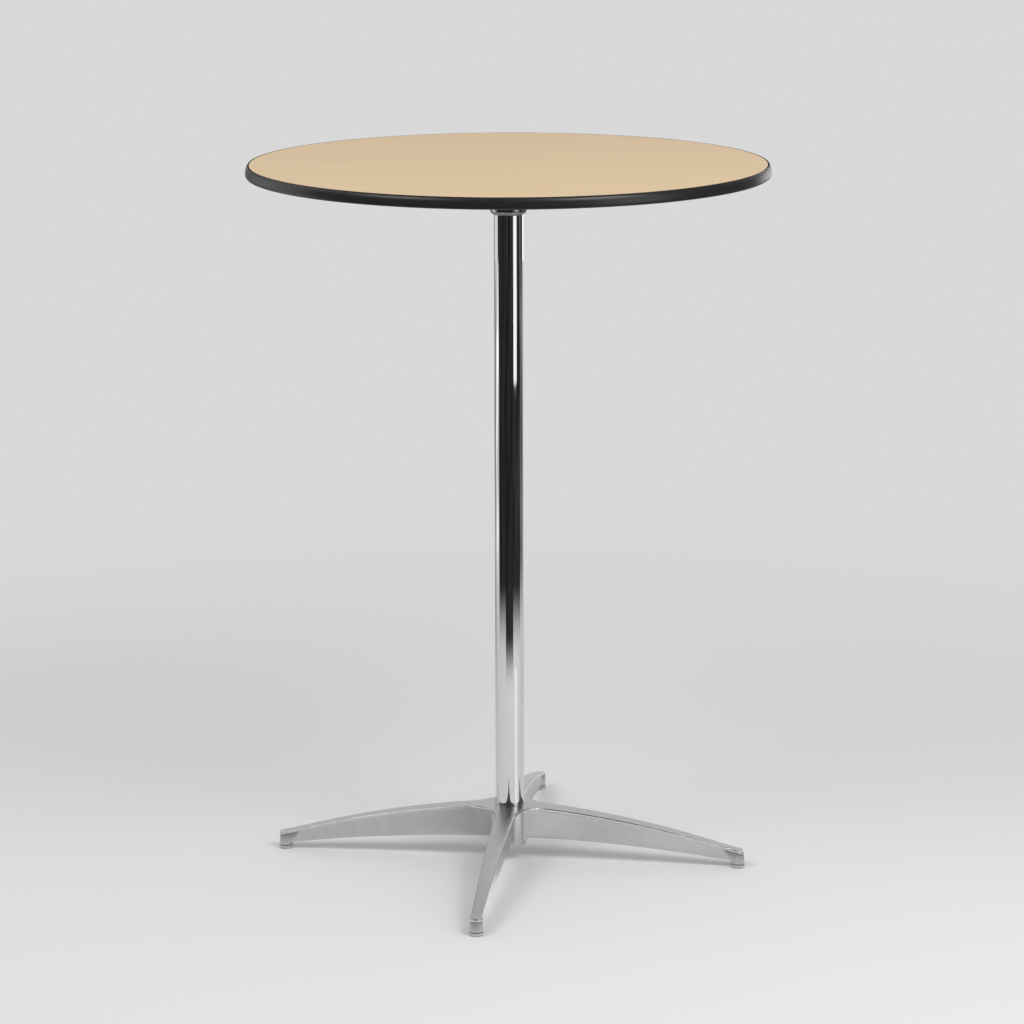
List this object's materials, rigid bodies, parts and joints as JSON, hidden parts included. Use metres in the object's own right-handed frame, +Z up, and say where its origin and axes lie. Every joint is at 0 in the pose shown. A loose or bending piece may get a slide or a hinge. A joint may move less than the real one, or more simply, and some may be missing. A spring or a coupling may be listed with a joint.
{
  "type": "cocktail table",
  "caption": "Round bar-height table with a wood-faced top and black edge strip on a chrome tube column and an arched cast base with levelling glides.",
  "frame": {"origin": "on the floor, under the axis of the column", "axes": "+Z up along the column, the legs lie along X and Y, the front leg points along -Y"},
  "size_m": [0.7693, 0.7693, 1.067],
  "materials": {
    "veneer": "clear-coated veneer",
    "plywood": "raw plywood",
    "backing": "matt backing sheet",
    "vinyl": "smooth black vinyl",
    "cast_aluminium": "polished casting",
    "chrome_tube": "mirror chrome",
    "plain_steel": "turned steel",
    "zinc_steel": "zinc plated",
    "glide_plastic": "moulded grey"
  },
  "bodies": {
    "table": {"top_core": "plywood", "top_face": "veneer", "top_backer": "backing", "edge_trim": "vinyl", "top_spider": "cast_aluminium", "spider_screws": "zinc_steel", "spider_stud": "zinc_steel", "column_tube": "chrome_tube", "column_top_plug": "plain_steel", "column_bottom_plug": "plain_steel", "base_casting": "cast_aluminium", "base_bolt": "zinc_steel", "flat_washer": "zinc_steel", "spring_washer": "zinc_steel"},
    "pad_right": {"glide_pad_right": "glide_plastic"},
    "stem_right": {"glide_stem_right": "zinc_steel"},
    "pad_back": {"glide_pad_back": "glide_plastic"},
    "stem_back": {"glide_stem_back": "zinc_steel"},
    "pad_left": {"glide_pad_left": "glide_plastic"},
    "stem_left": {"glide_stem_left": "zinc_steel"},
    "pad_front": {"glide_pad_front": "glide_plastic"},
    "stem_front": {"glide_stem_front": "zinc_steel"}
  },
  "joints": [
    {"name": "level_right", "type": "slide", "parent": "table", "child": "pad_right", "axis": [0, 0, -1], "range_m": [0, 0.008]},
    {"name": "screw_right", "type": "hinge", "parent": "pad_right", "child": "stem_right", "pos_m": [0.3495, 0, 0.012], "axis": [0, 0, -1], "range_deg": [0, 2304]},
    {"name": "level_back", "type": "slide", "parent": "table", "child": "pad_back", "axis": [0, 0, -1], "range_m": [0, 0.008]},
    {"name": "screw_back", "type": "hinge", "parent": "pad_back", "child": "stem_back", "pos_m": [0, 0.3495, 0.012], "axis": [0, 0, -1], "range_deg": [0, 2304]},
    {"name": "level_left", "type": "slide", "parent": "table", "child": "pad_left", "axis": [0, 0, -1], "range_m": [0, 0.008]},
    {"name": "screw_left", "type": "hinge", "parent": "pad_left", "child": "stem_left", "pos_m": [-0.3495, 0, 0.012], "axis": [0, 0, -1], "range_deg": [0, 2304]},
    {"name": "level_front", "type": "slide", "parent": "table", "child": "pad_front", "axis": [0, 0, -1], "range_m": [0, 0.008]},
    {"name": "screw_front", "type": "hinge", "parent": "pad_front", "child": "stem_front", "pos_m": [0, -0.3495, 0.012], "axis": [0, 0, -1], "range_deg": [0, 2304]}
  ],
  "couplings": [
    {"joint": "screw_right", "follows": "level_right", "rad_per_m": 5026.5},
    {"joint": "screw_back", "follows": "level_back", "rad_per_m": 5026.5},
    {"joint": "screw_left", "follows": "level_left", "rad_per_m": 5026.5},
    {"joint": "screw_front", "follows": "level_front", "rad_per_m": 5026.5}
  ]
}
